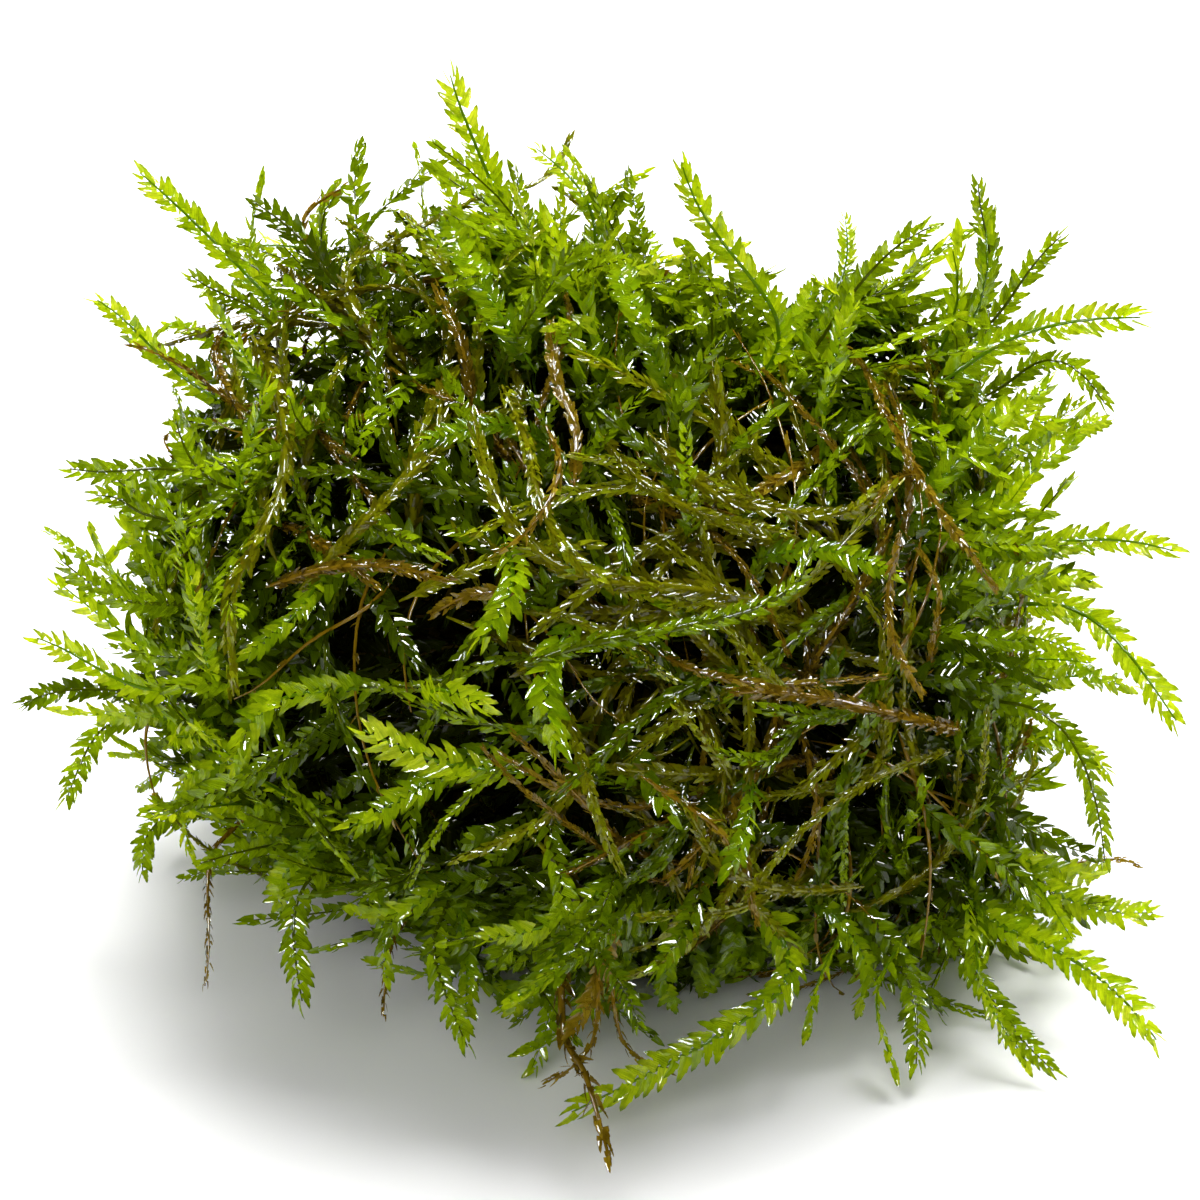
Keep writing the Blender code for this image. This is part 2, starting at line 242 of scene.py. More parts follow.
FINE_LEAF = leaf_template([0, 0.30, 0.37, 0.58, 0.65, 0.86], teeth=0.2)
PLAIN_LEAF = leaf_template([0, 0.4, 0.78])
DEEP_LEAF = leaf_template([0, 0.6])
SLIVER = leaf_template([0])
LEAVES = {"fine": FINE_LEAF, "plain": PLAIN_LEAF, "deep": DEEP_LEAF, "sliver": SLIVER}
for label, template in LEAVES.items():
    print(label, "leaf:", len(template[2]), "triangles")

# %% [markdown]
# ## Leaves along a stem
# A shoot kind says how its leaves stand: how far apart, how long and wide, how steeply they
# leave the stem, and whether they stand in two flat ranks or wind round it. All leaves of all
# shoots are placed at once, as arrays.

# %% Kinds of shoot
# gap: between leaves along the stem, mm; size: leaf length, mm; half: half its width, of its
# length; angle: from the stem, degrees; flat: share of the leaves in two ranks, the rest wind
# round; wide and thick: half width and half thickness of the stem, mm; loose: spread of the
# leaf angles, degrees; ruffle: how unevenly the leaves face.
LABELS = ("gap", "size", "half", "angle", "flat", "wide", "thick", "loose", "ruffle")
KIND_ROWS = {
    "frond": (0.36, 1.40, 0.31, 54, 0.97, 0.16, 0.13, 7, 0.14),
    "sprig": (0.37, 1.20, 0.32, 50, 0.92, 0.14, 0.12, 9, 0.18),
    "ribbon": (0.25, 1.05, 0.30, 32, 0.72, 0.36, 0.20, 9, 0.22),
    "bare": (0.42, 0.95, 0.26, 32, 0.10, 0.22, 0.22, 12, 0.25),
    "thread": (2.20, 0.80, 0.22, 38, 0.00, 0.12, 0.12, 14, 0.20),
}
KINDS = {kind: dict(zip(LABELS, row)) for kind, row in KIND_ROWS.items()}
TONES = 8  # columns of leaf colour, from the oldest to the freshest
LEAF_ROWS = 0.80  # height of the leaf sheet that the leaves take
STEM_ROWS = 0.86  # height above which the stems lie on it
TIP_FROM = 0.82  # share of the stem after which the leaves close up toward the tip
CLOSING = 0.75  # share of its angle that a leaf has lost at the very tip
LEAF_TURN = 2.4  # radians from one winding leaf to the next
OVER_EVERY, OVER_SHARE = 9, 0.6  # one leaf in nine may stand over the stem; this share does
LEAF_FOOT = 0.7  # where a leaf starts, of the stem's half width
LEAF_HOOK = 0.2  # how far its end bends along the stem, of its length
YOUNGER = 2.2  # columns fresher from the root to the tip
DARKER_PER_MM_UNDER = 0.75  # columns darker for each mm under the skin of the mat: painted shade, with the inner leaves also older
DEEPEST = 3.5  # mm under the skin past which nothing gets darker
print("leaves on 10 mm of stem:", {kind: round(10 / k["gap"]) for kind, k in KINDS.items()})


def at_share(rows, shoot, share):
    """Values between two points of each shoot's line: (1 - f) x this + f x the next."""
    place = np.clip(share, 0, 0.9999) * (rows.shape[1] - 1)
    i = place.astype(int)
    f = (place - i)[:, None]
    return rows[shoot, i] * (1 - f) + rows[shoot, i + 1] * f


def stem_frames(paths, facings):
    """Along = slope of the line, face = the facing less its part along the line, side = along
    x face, each a unit vector at every point of every line."""
    along = unit(np.gradient(paths, axis=1))
    face = unit(facings - (facings * along).sum(-1, keepdims=True) * along)
    return along, np.cross(along, face), face


def grow_leaves(paths, facings, kind, template, tones, scale, rng, bare_root=0.0):
    """Corners in mm, triangles and places on the leaf sheet for all leaves of these shoots.
    Corner = foot on the stem + size x along x axis + half x side x across + (half x height -
    curl x along^2) x normal + hook x size x along^2 x stem. The axis leaves the stem at the
    kind's angle, toward the side for leaves in two ranks and all round for the others."""
    k = KINDS[kind]
    points, place, faces = template
    along, side, face = stem_frames(paths, facings)
    length = np.linalg.norm(np.diff(paths, axis=1), axis=2).sum(1)
    count = np.maximum(3, (length / (k["gap"] * scale)).astype(int))
    shoot = np.repeat(np.arange(len(paths)), count)
    order = np.arange(count.sum()) - np.repeat(np.cumsum(count) - count, count)
    share = (order + 0.5) / count[shoot]
    shoot, order, share = (a[share > bare_root] for a in (shoot, order, share))
    total = len(shoot)
    base, t = at_share(paths, shoot, share), unit(at_share(along, shoot, share))
    s, f = unit(at_share(side, shoot, share)), unit(at_share(face, shoot, share))

    rank = np.where(order % 2 == 0, 0.0, math.pi) + rng.normal(0, 1.4 * k["ruffle"], total)
    over = (order % OVER_EVERY == 3) & (rng.random(total) < OVER_SHARE)
    rank = np.where(over, rng.uniform(0.25, 0.75, total) * math.pi, rank)
    winding = order * LEAF_TURN + rng.normal(0, 0.25, total)
    flat = rng.random(total) < k["flat"]
    turn = np.where(flat, rank, winding)[:, None]
    out = np.cos(turn) * s + np.sin(turn) * f

    toward_tip = np.clip((share - TIP_FROM) / (1 - TIP_FROM), 0, 1)
    angle = np.radians(k["angle"] + rng.normal(0, k["loose"], total))
    angle = angle * (1 - CLOSING * toward_tip)
    axis = np.cos(angle)[:, None] * t + np.sin(angle)[:, None] * out
    lying = unit(f - (f * axis).sum(-1, keepdims=True) * axis)
    hugging = np.cos(angle)[:, None] * out - np.sin(angle)[:, None] * t
    hug = np.where(flat, 0.22 + 0.5 * toward_tip, 1.0)[:, None]
    normal = lying * (1 - hug) + hugging * hug
    normal = unit(normal + k["ruffle"] * rng.normal(0, 1, (total, 3)))
    normal = unit(normal - (normal * axis).sum(-1, keepdims=True) * axis)
    across = np.cross(normal, axis)

    young = np.clip(share * count[shoot] / 5, 0.55, 1)
    size = k["size"] * scale[shoot] * young * (1 - 0.15 * toward_tip)
    size = size * rng.uniform(0.8, 1.12, total)
    half = size * k["half"] * rng.uniform(0.88, 1.12, total)
    curl = rng.normal(0.05, 0.12, total) * size
    foot = np.cos(turn) * s * k["wide"] + np.sin(turn) * f * k["thick"]
    base = base + foot * LEAF_FOOT * scale[shoot][:, None]
    made = base[:, None] + axis[:, None] * (points[:, 0] * size[:, None])[..., None]
    made = made + across[:, None] * (points[:, 1] * half[:, None])[..., None]
    lift = points[:, 2] * half[:, None] - points[:, 0] ** 2 * curl[:, None]
    hook = points[:, 0] ** 2 * size[:, None] * LEAF_HOOK
    made = made + normal[:, None] * lift[..., None] + t[:, None] * hook[..., None]

    under = reach(unit(base - HEART)) - np.linalg.norm(base - HEART, axis=1)
    tone = tones[shoot] + rng.normal(0, 0.8, total) + YOUNGER * (share - 0.6)
    # Leaves under the skin of the mat get darker tones: painted shade of the clump's depth, as
    # well as their age.
    tone = tone - DARKER_PER_MM_UNDER * np.clip(under, 0, DEEPEST)
    column = np.clip(np.round(tone), 0, TONES - 1)
    sheet = np.empty((total, len(place), 2))
    sheet[..., 0] = (column[:, None] + 0.06 + 0.88 * place[:, 1]) / TONES
    sheet[..., 1] = 0.01 + LEAF_ROWS * place[:, 0]
    index = faces[None] + (np.arange(total) * len(points))[:, None, None]
    return made.reshape(-1, 3), index.reshape(-1, 3), sheet.reshape(-1, 2)


# %% [markdown]
# ## Stems
# A stem is a thin tube. A curve with a bevel would do for one, but here a ring of corners is
# carried along all lines at once. Both ends are closed, and the ring shrinks toward the tip.


# %% Stems
def grow_stems(paths, facings, kind, tones, scale, sides, rings):
    """Ring corner = line point + taper x (wide x cos a x side + thick x sin a x face); the
    taper falls to a third at the tip. Returns corners, triangles and places on the sheet."""
    picks = np.round(np.linspace(0, paths.shape[1] - 1, rings)).astype(int)
    along, side, face = stem_frames(paths, facings)
    line, side, face = paths[:, picks], side[:, picks], face[:, picks]
    share = np.linspace(0, 1, rings)
    taper = scale[:, None] * (1 - 0.65 * share**2) * np.minimum(1, 0.35 + 4 * share)
    a = (np.arange(sides) / sides * 2 * math.pi)[:, None]
    wide, thick = KINDS[kind]["wide"] * np.cos(a), KINDS[kind]["thick"] * np.sin(a)
    spoke = wide * side[:, :, None] + thick * face[:, :, None]
    made = line[:, :, None] + taper[:, :, None, None] * spoke
    i, j = np.meshgrid(np.arange(rings - 1), np.arange(sides), indexing="ij")
    a0, a1 = (i * sides + j).reshape(-1), (i * sides + (j + 1) % sides).reshape(-1)
    wall = np.concatenate(
        [np.stack([a0, a1, a1 + sides], 1), np.stack([a0, a1 + sides, a0 + sides], 1)]
    )
    fan = np.stack([np.zeros(sides - 2, int), np.arange(2, sides), np.arange(1, sides - 1)], 1)
    top = fan[:, [0, 2, 1]] + (rings - 1) * sides
    faces = np.concatenate([wall, fan, top])
    column = np.clip(np.round(tones), 0, TONES - 1)
    sheet = np.empty((len(paths), rings, sides, 2))
    sheet[..., 0] = (column[:, None, None] + 0.1 + 0.8 * share[None, :, None]) / TONES
    sheet[..., 1] = STEM_ROWS + 0.12 * np.abs(2 * np.arange(sides) / sides - 1)
    index = faces[None] + (np.arange(len(paths)) * rings * sides)[:, None, None]
    return made.reshape(-1, 3), index.reshape(-1, 3), sheet.reshape(-1, 2)


for sides, rings in ((3, 7), (6, 19)):
    print("stem of", sides, "sides:", 2 * sides * (rings - 1) + 2 * (sides - 2), "triangles")

# %% [markdown]
# ## From arrays to a piece
# Every piece is one mesh: its stems and leaves joined, smooth shaded, with one UV map that
# tells each corner its place on the leaf sheet. Leaves of one tone share one place there, so
# the map stays small however many leaves there are.


# %% Making the mesh
def shoot_arrays(
    paths, facings, kind, template, tones, scale, rng, sides=4, rings=9, bare_root=0.0
):
    """The leaves, then the stems, of a batch of shoots, as one set of arrays."""
    leaves = grow_leaves(paths, facings, kind, template, tones, scale, rng, bare_root)
    stems = grow_stems(paths, facings, kind, tones, scale, sides, rings)
    return joined([leaves, stems])


def joined(parts):
    """Several (corners, triangles, places) sets as one, with the later indexes moved up."""
    starts = np.cumsum([0] + [len(p[0]) for p in parts[:-1]])
    corners = np.concatenate([p[0] for p in parts])
    faces = np.concatenate([p[1] + start for p, start in zip(parts, starts)])
    return corners, faces, np.concatenate([p[2] for p in parts])


SHEET_MAP = "OFBake"
made_triangles = {}


def piece(name, arrays, material, slot, *replaced):
    """One mesh object that rides on the root body and stands for the nodes it replaces."""
    corners, faces, sheet = arrays
    corners = corners.copy()
    corners[:, 2] = np.maximum(corners[:, 2], FLOOR_GAP)
    mesh = bpy.data.meshes.new(name)
    mesh.vertices.add(len(corners))
    mesh.vertices.foreach_set("co", (corners * MM).astype(np.float32).reshape(-1))
    mesh.loops.add(faces.size)
    mesh.loops.foreach_set("vertex_index", faces.reshape(-1).astype(np.int32))
    mesh.polygons.add(len(faces))
    mesh.polygons.foreach_set("loop_start", np.arange(len(faces), dtype=np.int32) * 3)
    mesh.polygons.foreach_set("use_smooth", np.ones(len(faces), bool))
    mesh.uv_layers.new(name=SHEET_MAP)
    on_sheet = sheet[faces.reshape(-1)].astype(np.float32)
    mesh.uv_layers[0].data.foreach_set("uv", on_sheet.reshape(-1))
    mesh.update(calc_edges=True)
    mesh.validate()
    mesh.materials.append(material)
    made = bpy.data.objects.new(name, mesh)
    bpy.context.scene.collection.objects.link(made)
    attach(made, "root")
    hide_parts(*replaced)
    made_triangles[name] = len(mesh.polygons)


# %% [markdown]
# ## The leaf's colour and its wet skin
# A moss leaf is one cell thick: light goes through it, so a plain shader would look like
# paper. Each material mixes a wet surface with light let through. The colour comes from two
# node groups, made once and used in every material. The first reads the leaf sheet: which
# tone, and where on the leaf. An image would do, but masks from arithmetic stay sharp.


# %% Node group: leaf sheet
def math_node(tree, operation, a, b=None):
    """A Math node fed by sockets or plain numbers."""
    node = tree.nodes.new("ShaderNodeMath")
    node.operation = operation
    for slot, value in zip(node.inputs, (a, b)):
        if value is None:
            continue
        if isinstance(value, (int, float)):
            slot.default_value = value
        else:
            tree.links.new(value, slot)
    return node.outputs[0]


def new_group(name, inputs, outputs):
    """A shader node group with named float or vector sockets."""
    tree = bpy.data.node_groups.new(name, "ShaderNodeTree")
    for label, kind, value in inputs:
        socket = tree.interface.new_socket(label, in_out="INPUT", socket_type=kind)
        if value is not None:
            socket.default_value = value
    for label, kind in outputs:
        tree.interface.new_socket(label, in_out="OUTPUT", socket_type=kind)
    return tree, tree.nodes.new("NodeGroupInput"), tree.nodes.new("NodeGroupOutput")


def make_leaf_sheet_group():
    """Tone = column / last column; Rib = 1 - 9 x distance from the middle, fading to the tip;
    Point = 5 x (height - 0.58), the dark tip; Stem = 1 on stems; Fold = (1 + sin(40 x
    across)) / 2, fine pleats along the leaf. Rib and Point are held between 0 and 1."""
    tree, given, result = new_group(
        "leaf_sheet",
        [("Place", "NodeSocketVector", None)],
        [(label, "NodeSocketFloat") for label in ("Tone", "Rib", "Point", "Stem", "Fold")],
    )
    split = tree.nodes.new("ShaderNodeSeparateXYZ")
    tree.links.new(given.outputs["Place"], split.inputs[0])
    scaled = math_node(tree, "MULTIPLY", split.outputs[0], TONES)
    column = math_node(tree, "FLOOR", scaled)
    signed = math_node(tree, "SUBTRACT", math_node(tree, "FRACT", scaled), 0.5)
    across = math_node(tree, "ABSOLUTE", signed)
    stem = math_node(tree, "GREATER_THAN", split.outputs[1], (LEAF_ROWS + STEM_ROWS) / 2)
    leaf = math_node(tree, "SUBTRACT", 1.0, stem)
    rib = math_node(tree, "SUBTRACT", 1.0, math_node(tree, "MULTIPLY", across, 9.0))
    rib.node.use_clamp = True
    fade = math_node(tree, "SUBTRACT", 1.0, split.outputs[1])
    rib = math_node(tree, "MULTIPLY", math_node(tree, "MULTIPLY", rib, fade), leaf)
    near_tip = math_node(tree, "SUBTRACT", split.outputs[1], 0.58)
    point = math_node(tree, "MULTIPLY", near_tip, 5.0)
    point.node.use_clamp = True
    pleats = math_node(tree, "SINE", math_node(tree, "MULTIPLY", signed, 40.0))
    fold = math_node(tree, "ADD", math_node(tree, "MULTIPLY", pleats, 0.5), 0.5)
    tree.links.new(math_node(tree, "DIVIDE", column, TONES - 1), result.inputs["Tone"])
    tree.links.new(rib, result.inputs["Rib"])
    tree.links.new(math_node(tree, "MULTIPLY", point, leaf), result.inputs["Point"])
    tree.links.new(stem, result.inputs["Stem"])
    tree.links.new(math_node(tree, "MULTIPLY", fold, leaf), result.inputs["Fold"])
    return tree


def outputs_of(group):
    """The names of a group's output sockets."""
    return [row.name for row in group.interface.items_tree if row.in_out == "OUTPUT"]


leaf_sheet = make_leaf_sheet_group()
print(leaf_sheet.name, "gives", outputs_of(leaf_sheet))

# %% [markdown]
# ### The film of water
# Water lies on a leaf in patches, and only these mirror the lights. Noises give the patches,
# the ripples on them and the darker spots of the leaf. The ripples only shade the leaf: if the
# mirroring film took them too, each glint would break up into a pale haze.

# %% Node group: film of water
PATCHES, RIPPLES, SPOTS = 900.0, 3400.0, 1600.0  # features per metre


def noise_node(tree, place, scale, detail):
    """A noise of the given scale, in features per metre of the clump."""
    node = tree.nodes.new("ShaderNodeTexNoise")
    node.inputs["Scale"].default_value = scale
    node.inputs["Detail"].default_value = detail
    tree.links.new(place, node.inputs["Vector"])
    return node.outputs["Fac"]


def make_wet_film_group():
    """Film = 1 where the noise of patches is over 0.5, 0 under 0.4; Roughness = dry to wet by
    the film; Height = ripples + patches; Mottle = 5 x (spots - 0.46), between 0 and 1."""
    tree, given, result = new_group(
        "wet_film",
        [
            ("Place", "NodeSocketVector", None),
            ("Wet", "NodeSocketFloat", 0.14),
            ("Dry", "NodeSocketFloat", 0.45),
        ],
        [(label, "NodeSocketFloat") for label in ("Film", "Roughness", "Height", "Mottle")],
    )
    patches = noise_node(tree, given.outputs["Place"], PATCHES, 1.0)
    ripples = noise_node(tree, given.outputs["Place"], RIPPLES, 1.0)
    spots = noise_node(tree, given.outputs["Place"], SPOTS, 2.0)
    mottle = math_node(tree, "MULTIPLY", math_node(tree, "SUBTRACT", spots, 0.46), 5.0)
    mottle.node.use_clamp = True
    film = tree.nodes.new("ShaderNodeMapRange")
    film.inputs["From Min"].default_value = 0.40
    film.inputs["From Max"].default_value = 0.50
    tree.links.new(patches, film.inputs["Value"])
    rough = tree.nodes.new("ShaderNodeMix")
    tree.links.new(film.outputs["Result"], rough.inputs["Factor"])
    tree.links.new(given.outputs["Dry"], rough.inputs["A"])
    tree.links.new(given.outputs["Wet"], rough.inputs["B"])
    tree.links.new(film.outputs["Result"], result.inputs["Film"])
    tree.links.new(rough.outputs["Result"], result.inputs["Roughness"])
    tree.links.new(math_node(tree, "ADD", ripples, patches), result.inputs["Height"])
    tree.links.new(mottle, result.inputs["Mottle"])
    return tree


wet_film = make_wet_film_group()
print(wet_film.name, "gives", outputs_of(wet_film))

# %% [markdown]
# ### Five ages of leaf
# Fresh, green and deep green shoots, and olive and brown ones that have died back, differ only
# in their colours and in how much light they let through. So one function makes them all. The
# Principled shader gives the leaf and its coat of water, and a Translucent one the light that
# comes through. The leaf under the water has no gloss of its own, only the coat has. The nearly
# black tones of the deep green are painted shade for the depth of the mat.

# %% Leaf materials
BUMP_HEIGHT = 0.00015  # metres
COAT_ROUGHNESS = 0.03


def mix_colour(tree, factor, a, b):
    """A colour Mix node: a where the factor is 0, b where it is 1."""
    node = tree.nodes.new("ShaderNodeMix")
    node.data_type = "RGBA"
    tree.links.new(factor, node.inputs["Factor"])
    for slot, value in ((node.inputs["A"], a), (node.inputs["B"], b)):
        if isinstance(value, tuple):
            slot.default_value = (*value, 1.0)
        else:
            tree.links.new(value, slot)
    return node.outputs["Result"]


def leaf_material(name, tones, stem, rib, tip, through, glow, wet=0.15, dry=0.5, coat=0.8):
    """Surface = (1 - through) x leaf with its coat + through x light of colour x glow. The
    tones run from old to fresh, and stem, rib and tip tint them by the masks. Wet and dry are
    the two roughnesses, and coat is the weight of the film of water."""
    made = bpy.data.materials.new(name)
    made.use_nodes = True
    tree = made.node_tree
    shader, output = tree.nodes["Principled BSDF"], tree.nodes["Material Output"]
    place = tree.nodes.new("ShaderNodeUVMap")
    place.uv_map = SHEET_MAP
    sheet = tree.nodes.new("ShaderNodeGroup")
    sheet.node_tree = leaf_sheet
    film = tree.nodes.new("ShaderNodeGroup")
    film.node_tree = wet_film
    film.inputs["Wet"].default_value, film.inputs["Dry"].default_value = wet, dry
    tree.links.new(place.outputs[0], sheet.inputs["Place"])
    coordinates = tree.nodes.new("ShaderNodeTexCoord")
    tree.links.new(coordinates.outputs["Object"], film.inputs["Place"])
    ramp = tree.nodes.new("ShaderNodeValToRGB")
    stops = ramp.color_ramp.elements
    while len(stops) < len(tones):
        stops.new(0.5)
    for i, tone in enumerate(tones):
        stops[i].position = i / (len(tones) - 1)
        stops[i].color = (*tone, 1.0)
    tree.links.new(sheet.outputs["Tone"], ramp.inputs["Fac"])
    colour = ramp.outputs["Color"]
    # The Fold mask tints the pleats toward the rib colour: painted shade in their creases, on top
    # of the real relief that the bump gives them.
    for mask, share, tint in (
        (sheet.outputs["Rib"], 0.5, rib),
        (sheet.outputs["Fold"], 0.15, rib),
        (film.outputs["Mottle"], 0.28, tip),
        (sheet.outputs["Point"], 0.8, tip),
    ):
        colour = mix_colour(tree, math_node(tree, "MULTIPLY", mask, share), colour, tint)
    colour = mix_colour(tree, sheet.outputs["Stem"], colour, stem)
    tree.links.new(colour, shader.inputs["Base Color"])
    tree.links.new(film.outputs["Roughness"], shader.inputs["Roughness"])
    bump = tree.nodes.new("ShaderNodeBump")
    bump.inputs["Strength"].default_value = 1.0
    bump.inputs["Distance"].default_value = BUMP_HEIGHT
    pleated = math_node(tree, "MULTIPLY", sheet.outputs["Fold"], 0.3)
    tree.links.new(math_node(tree, "ADD", film.outputs["Height"], pleated), bump.inputs["Height"])
    tree.links.new(bump.outputs["Normal"], shader.inputs["Normal"])
    weight = math_node(tree, "MULTIPLY", film.outputs["Film"], coat)
    tree.links.new(weight, shader.inputs["Coat Weight"])
    shader.inputs["Coat Roughness"].default_value = COAT_ROUGHNESS
    shader.inputs["Specular IOR Level"].default_value = 0.0
    light = tree.nodes.new("ShaderNodeBsdfTranslucent")
    gain = tree.nodes.new("ShaderNodeMix")
    gain.data_type, gain.blend_type = "RGBA", "MULTIPLY"
    gain.inputs["Factor"].default_value = 1.0
    gain.inputs["B"].default_value = (*glow, 1.0)
    tree.links.new(colour, gain.inputs["A"])
    tree.links.new(gain.outputs["Result"], light.inputs["Color"])
    both = tree.nodes.new("ShaderNodeMixShader")
    both.inputs[0].default_value = through
    tree.links.new(shader.outputs[0], both.inputs[1])
    tree.links.new(light.outputs[0], both.inputs[2])
    tree.links.new(both.outputs[0], output.inputs["Surface"])
    return made


fresh = leaf_material(
    "fresh_leaves",
    [(0.10, 0.18, 0.002), (0.30, 0.46, 0.003), (0.52, 0.66, 0.008), (0.70, 0.79, 0.04)],
    stem=(0.15, 0.29, 0.003),
    rib=(0.18, 0.36, 0.004),
    tip=(0.07, 0.17, 0.002),
    through=0.48,
    glow=(1.3, 1.2, 0.45),
)
green = leaf_material(
    "green_leaves",
    [(0.024, 0.032, 0.001), (0.08, 0.13, 0.001), (0.21, 0.33, 0.002), (0.38, 0.54, 0.005)],
    stem=(0.08, 0.11, 0.001),
    rib=(0.08, 0.14, 0.001),
    tip=(0.04, 0.09, 0.001),
    through=0.32,
    glow=(1.3, 1.2, 0.6),
)
# Nearly black tones for the depth of the mat: the older leaves there, darkened further as painted
# shade.
deep = leaf_material(
    "deep_shade_leaves",
    [(0.006, 0.007, 0.000), (0.014, 0.019, 0.001), (0.04, 0.06, 0.001), (0.09, 0.15, 0.001)],
    stem=(0.030, 0.020, 0.001),
    rib=(0.02, 0.028, 0.001),
    tip=(0.015, 0.024, 0.001),
    through=0.15,
    glow=(1.2, 1.2, 0.7),
    coat=0.3,
)
olive = leaf_material(
    "olive_leaves",
    [(0.05, 0.045, 0.001), (0.13, 0.135, 0.002), (0.27, 0.31, 0.003), (0.42, 0.51, 0.008)],
    stem=(0.17, 0.17, 0.002),
    rib=(0.10, 0.08, 0.002),
    tip=(0.20, 0.15, 0.003),
    through=0.25,
    glow=(1.3, 1.15, 0.5),
    wet=0.08,
    dry=0.36,
)
brown = leaf_material(
    "brown_leaves",
    [(0.05, 0.030, 0.002), (0.14, 0.090, 0.003), (0.30, 0.21, 0.006), (0.54, 0.40, 0.025)],
    stem=(0.20, 0.12, 0.004),
    rib=(0.13, 0.08, 0.003),
    tip=(0.42, 0.30, 0.02),
    through=0.25,
    glow=(1.3, 1.0, 0.4),
    wet=0.08,
    dry=0.36,
)
print("materials:", ", ".join(m.name for m in (fresh, green, deep, olive, brown)))

# %% [markdown]
# ## The loose fronds
# These stand out of the mat, one piece for each solid. Their stems run a little way into the
# mat, where the solid had to stop short of it.

# %% Fronds, stalks and strands of the solid model
LOOKS = {
    # material slot: material, tone, slot name
    "fresh": (fresh, 4.2, "fresh"),
    "leaf": (green, 5.6, "leaf"),
    "deep": (green, 2.6, "deep"),
    "olive": (olive, 3.6, "olive"),
    "brown": (brown, 2.2, "brown"),
    "orange": (brown, 5.0, "orange"),
}
slot_of = {row["node"]: row["material_slot"] for row in frame["record"]["subparts"]}


def kind_of(name):
    """The shoot kind that a node's name tells."""
    if name.startswith("frond"):
        return "frond"
    return "bare" if name.startswith(("stalk", "twig")) else "ribbon"


# The half width, in mm, that each kind of shoot has at scale 1.
FULL_HALF_WIDTH = {"frond": 1.35, "bare": 0.60, "ribbon": 0.98}


rng = np.random.default_rng(41)
for name in sorted(set(nodes) - {"mat"}):
    kind = kind_of(name)
    loose = kind != "ribbon"
    path, facing, half_width = run_of(name, from_heart=loose)
    if not loose:
        facing = unit(path - HEART)
    material, tone, slot = LOOKS[slot_of[name]]
    scale = np.array([half_width / FULL_HALF_WIDTH[kind]])
    arrays = shoot_arrays(
        path[None], facing[None], kind, FINE_LEAF, np.array([tone]), scale, rng, 6, 19
    )
    piece(name + "_shoot", arrays, material, slot, name)
print("pieces on the solids:", len(made_triangles), "triangles:", sum(made_triangles.values()))

# %% [markdown]
# ## The mat
# The mat is hundreds of shoots. Each starts inside, comes up to the surface and runs along it,
# and its tip stands up a little. Where they head is not quite random: most lean away from the
# middle and hang down, as wet shoots do when a clump is set down.


# %% Spreading places and headings over the mat
GOLDEN_ANGLE = 2.399963  # radians
SIDE_WAVE = 0.4  # mm that a line sways to each side


def spread(count, rng, jitter=0.06):
    """Evenly scattered directions: number k at height 1 - 2k / count and at k golden angles
    round the sphere, plus a random part of the size jitter."""
    k = np.arange(count) + 0.5
    z = 1 - 2 * k / count
    a = k * GOLDEN_ANGLE
    round_ = np.sqrt(1 - z**2)
    even_places = np.stack([round_ * np.cos(a), round_ * np.sin(a), z], 1)
    return unit(even_places + rng.normal(0, jitter, (count, 3)))


def waves(directions, pace, rng):
    """Smooth noise over the clump: 16 sines of pace x (direction . random axis) + random phase,
    added and scaled to a spread of about 1."""
    axes, phases = unit(rng.normal(0, 1, (16, 3))), rng.uniform(0, 6.3, 16)
    return np.sin(pace * directions @ axes.T + phases).sum(1) / math.sqrt(8)


def headings(directions, rng, wander=1.0, fall=0.25):
    """Tangent unit vectors: away from the middle, down a little, a part that neighbours share,
    and a random part."""
    lean = directions * [1.0, 0.35, 1.0] - [0, 0, fall]
    flow = np.stack([waves(directions, 5.0, rng) for _ in range(3)], axis=1)
    lean = lean + wander * (0.55 * flow + 0.6 * unit(rng.normal(0, 1, directions.shape)))
    return unit(lean - (lean * directions).sum(1, keepdims=True) * directions)


def mat_runs(directions, heads, length, depth, lift, tip_lift, facing_wander, rng):
    """Lines of shoots over the mat. Each is the curve (1-t)^2 A + 2t(1-t) B + t^2 C: A inside
    at depth x reach, B over the surface at lift, C further on at tip_lift. The facing turns
    about the line on the way."""
    out = reach(directions)
    swing = length / out
    side = np.cross(directions, heads)
    bend = rng.normal(0, 0.32, len(directions))

    def ahead(share, sideways):
        a = (swing * share)[:, None]
        turned = directions * np.cos(a) + (heads + side * sideways[:, None]) * np.sin(a)
        return unit(turned)

    middle, end = ahead(0.45, -bend), ahead(1.0, bend)
    a = directions * (out * depth)[:, None]
    b = middle * (reach(middle) + lift)[:, None]
    c = end * (reach(end) + tip_lift)[:, None]
    t = np.linspace(0, 1, STEPS)[None, :, None]
    paths = HEART + (1 - t) ** 2 * a[:, None] + 2 * t * (1 - t) * b[:, None] + t**2 * c[:, None]
    waved = np.sin(t * rng.uniform(4, 9, (len(a), 1, 1)) + rng.uniform(0, 6.3, (len(a), 1, 1)))
    paths = paths + side[:, None] * waved * SIDE_WAVE
    facing = unit(middle + facing_wander * rng.normal(0, 1, middle.shape))
    turn = rng.normal(0, 1.6 * facing_wander, len(a))[:, None, None] * (t - 0.4)
    facings = facing[:, None] * np.cos(turn) + side[:, None] * np.sin(turn)
    return keep_above_floor(paths), facings


